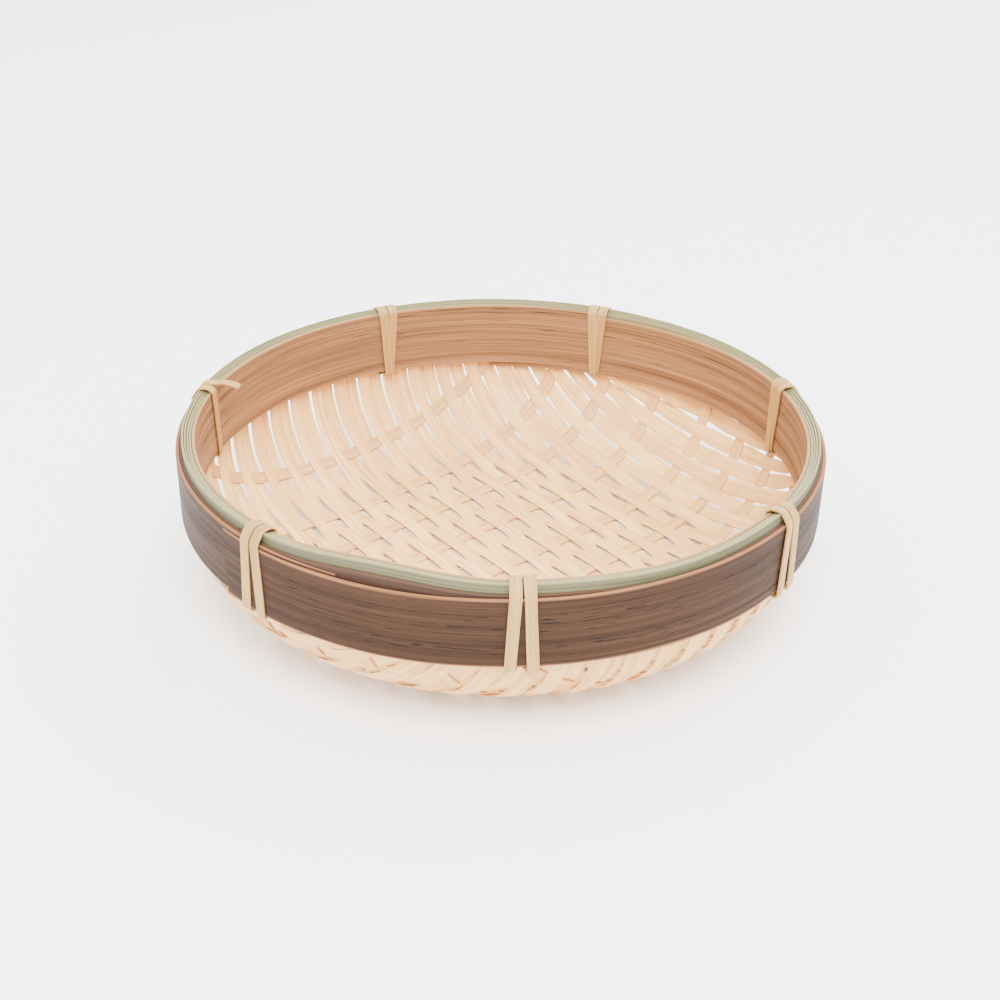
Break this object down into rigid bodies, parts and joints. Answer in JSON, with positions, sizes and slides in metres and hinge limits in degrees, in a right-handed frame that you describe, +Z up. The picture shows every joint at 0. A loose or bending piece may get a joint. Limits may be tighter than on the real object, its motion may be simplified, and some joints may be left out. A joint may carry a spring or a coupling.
{
  "type": "woven winnowing basket",
  "caption": "Shallow round basket of woven flat splints, its edge clamped between bent hoops and bound with flat ties, for winnowing and holding food.",
  "frame": {"origin": "on the surface the basket stands on, at the middle of its bounding box", "axes": "+Z up the basket's axis, +Y along the warp splints, +X across them"},
  "size_m": [0.2102, 0.21, 0.0586],
  "materials": {
    "warp_splint": "split bamboo, dry and matte",
    "weft_splint": "split bamboo, dry and matte",
    "outer_hoop": "weathered bamboo skin, satin",
    "backing_hoop": "bamboo skin, satin",
    "inner_hoop": "split bamboo flesh side, matte",
    "filler": "green bamboo, satin",
    "tie": "shaved bamboo, satin"
  },
  "bodies": {
    "root": {"warp_01": "warp_splint", "warp_02": "warp_splint", "warp_03": "warp_splint", "warp_04": "warp_splint", "warp_05": "warp_splint", "warp_06": "warp_splint", "warp_07": "warp_splint", "warp_08": "warp_splint", "warp_09": "warp_splint", "warp_10": "warp_splint", "warp_11": "warp_splint", "warp_12": "warp_splint", "warp_13": "warp_splint", "warp_14": "warp_splint", "warp_15": "warp_splint", "warp_16": "warp_splint", "warp_17": "warp_splint", "warp_18": "warp_splint", "warp_19": "warp_splint", "warp_20": "warp_splint", "warp_21": "warp_splint", "warp_22": "warp_splint", "warp_23": "warp_splint", "warp_24": "warp_splint", "warp_25": "warp_splint", "warp_26": "warp_splint", "warp_27": "warp_splint", "warp_28": "warp_splint", "warp_29": "warp_splint", "warp_30": "warp_splint", "warp_31": "warp_splint", "warp_32": "warp_splint", "warp_33": "warp_splint", "warp_34": "warp_splint", "warp_35": "warp_splint", "warp_36": "warp_splint", "warp_37": "warp_splint", "warp_38": "warp_splint", "warp_39": "warp_splint", "weft_1": "weft_splint", "weft_2": "weft_splint", "weft_3": "weft_splint", "weft_4": "weft_splint", "weft_5": "weft_splint", "weft_6": "weft_splint", "weft_7": "weft_splint", "weft_8": "weft_splint", "weft_9": "weft_splint", "outer_hoop": "outer_hoop", "backing_hoop": "backing_hoop", "inner_hoop": "inner_hoop", "filler_splints_outer": "filler", "filler_splints_inner": "filler", "tie_front": "tie", "tie_front_right": "tie", "tie_right": "tie", "tie_back_right": "tie", "tie_back_left": "tie", "tie_left": "tie", "tie_front_left": "tie"}
  },
  "joints": []
}
